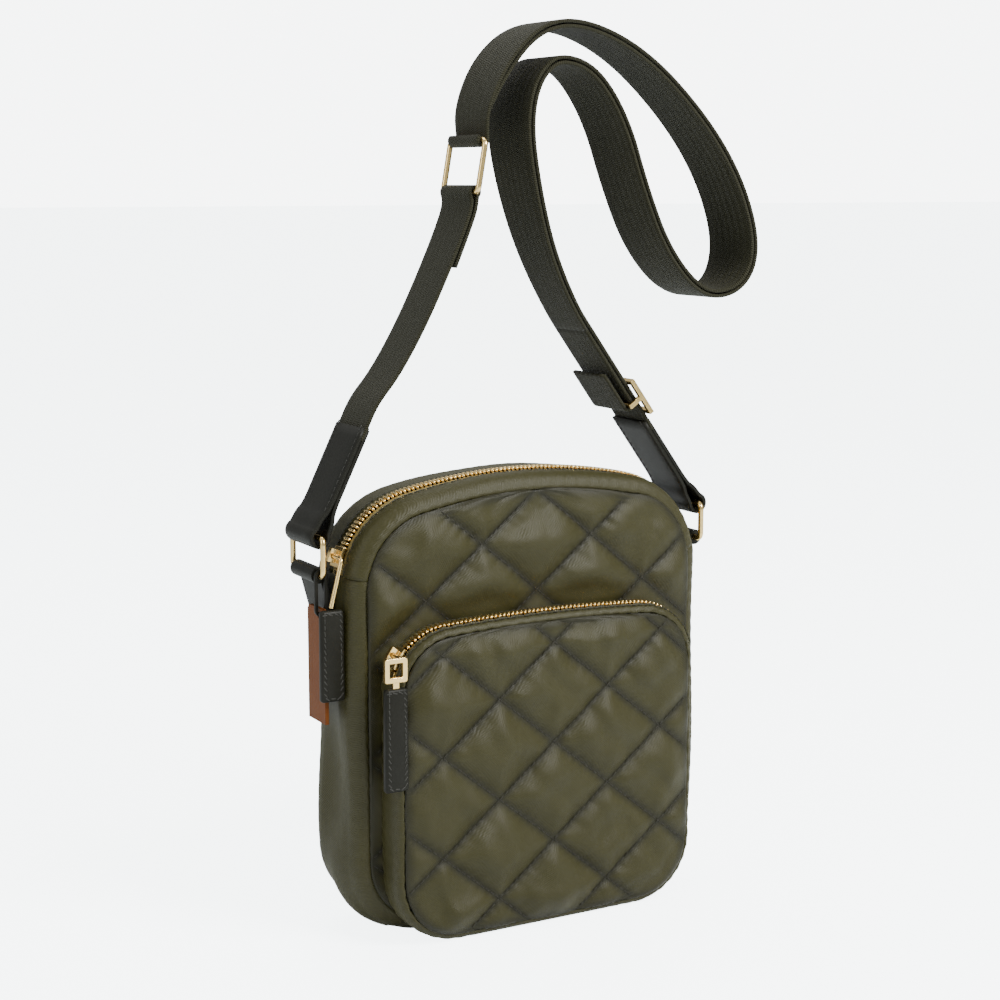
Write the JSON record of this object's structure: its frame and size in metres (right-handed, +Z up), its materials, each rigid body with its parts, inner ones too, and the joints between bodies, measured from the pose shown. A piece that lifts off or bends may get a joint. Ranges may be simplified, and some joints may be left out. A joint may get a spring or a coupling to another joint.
{
  "type": "crossbody purse",
  "caption": "Small quilted crossbody purse with an arched zip top, a zipped front pocket and an adjustable webbing strap on side rings.",
  "frame": {"origin": "centre of the flat base, midway between the front and back panels of the main body", "axes": "+Z up, -Y towards the front pocket, +X to the wearer-facing right when the front is seen"},
  "size_m": [0.2642, 0.0744, 0.4606],
  "materials": {
    "quilted_nylon": "satin woven nylon, olive",
    "plain_nylon": "satin woven nylon, olive",
    "lining": "matte polyester",
    "zip_tape": "matte woven tape",
    "webbing": "ribbed nylon webbing",
    "gold": "polished pale gold plating",
    "black_leather": "smooth coated leather",
    "brown_leather": "smooth tan leather",
    "board": "plain"
  },
  "bodies": {
    "bag": {"front_panel": "quilted_nylon", "back_panel": "quilted_nylon", "side_base_gusset": "plain_nylon", "zip_gusset_front": "plain_nylon", "zip_gusset_back": "plain_nylon", "front_seam_binding": "lining", "back_seam_binding": "lining", "main_lining": "lining", "base_stiffener": "board", "pocket_front_panel": "quilted_nylon", "pocket_gusset": "plain_nylon", "pocket_top_front": "plain_nylon", "pocket_top_back": "plain_nylon", "pocket_lining": "lining", "main_zip_tape_front": "zip_tape", "main_zip_tape_back": "zip_tape", "main_zip_teeth_front": "gold", "main_zip_teeth_back": "gold", "main_zip_stops": "gold", "pocket_zip_tape_front": "zip_tape", "pocket_zip_tape_back": "zip_tape", "pocket_zip_teeth_front": "gold", "pocket_zip_teeth_back": "gold", "pocket_zip_stops": "gold", "left_ring": "gold", "right_ring": "gold", "left_ring_tab": "black_leather", "right_ring_tab": "black_leather"},
    "main_slider": {"main_slider_body": "gold"},
    "main_pull": {"main_pull_link": "gold", "main_pull_tab": "black_leather"},
    "pocket_slider": {"pocket_slider_body": "gold"},
    "pocket_pull": {"pocket_pull_ring": "gold", "pocket_pull_tab": "black_leather"},
    "strap": {"left_strap_end": "black_leather", "right_strap_end": "black_leather", "strap_webbing_short": "webbing", "strap_ring": "gold", "strap_webbing_long": "webbing", "strap_webbing_return": "webbing", "strap_webbing_stretch": "webbing"},
    "adjuster": {"strap_slider": "gold", "strap_fold": "webbing"},
    "tag": {"hang_tag": "brown_leather", "tag_loop": "black_leather"}
  },
  "joints": [
    {"name": "main_zip_slide", "type": "hinge", "parent": "bag", "child": "main_slider", "pos_m": [-0.055, -0.005, 0.17893], "axis": [0, 1, 0], "range_deg": [0, 50]},
    {"name": "main_pull_swing", "type": "hinge", "parent": "main_slider", "child": "main_pull", "pos_m": [-0.10438, -0.005, 0.1969], "axis": [0, 1, 0], "range_deg": [0, 70]},
    {"name": "pocket_zip_slide", "type": "hinge", "parent": "bag", "child": "pocket_slider", "pos_m": [-0.0555, -0.0326, 0.12972], "axis": [0, 1, 0], "range_deg": [0, 40]},
    {"name": "pocket_pull_swing", "type": "hinge", "parent": "pocket_slider", "child": "pocket_pull", "pos_m": [-0.0858, -0.0326, 0.15016], "axis": [0, 1, 0], "range_deg": [0, 90]},
    {"name": "strap_rock", "type": "hinge", "parent": "bag", "child": "strap", "pos_m": [0, 0.0075, 0.20652], "axis": [1, 0, 0], "range_deg": [-6, 6]},
    {"name": "adjuster_slide", "type": "slide", "parent": "strap", "child": "adjuster", "axis": [-0.5878, 0, 0.809], "range_m": [0, 0.036], "deforming": ["strap_webbing_stretch"]},
    {"name": "tag_swing", "type": "hinge", "parent": "bag", "child": "tag", "pos_m": [-0.112, -0.0075, 0.18752], "axis": [0, 1, 0], "range_deg": [0, 70]}
  ]
}
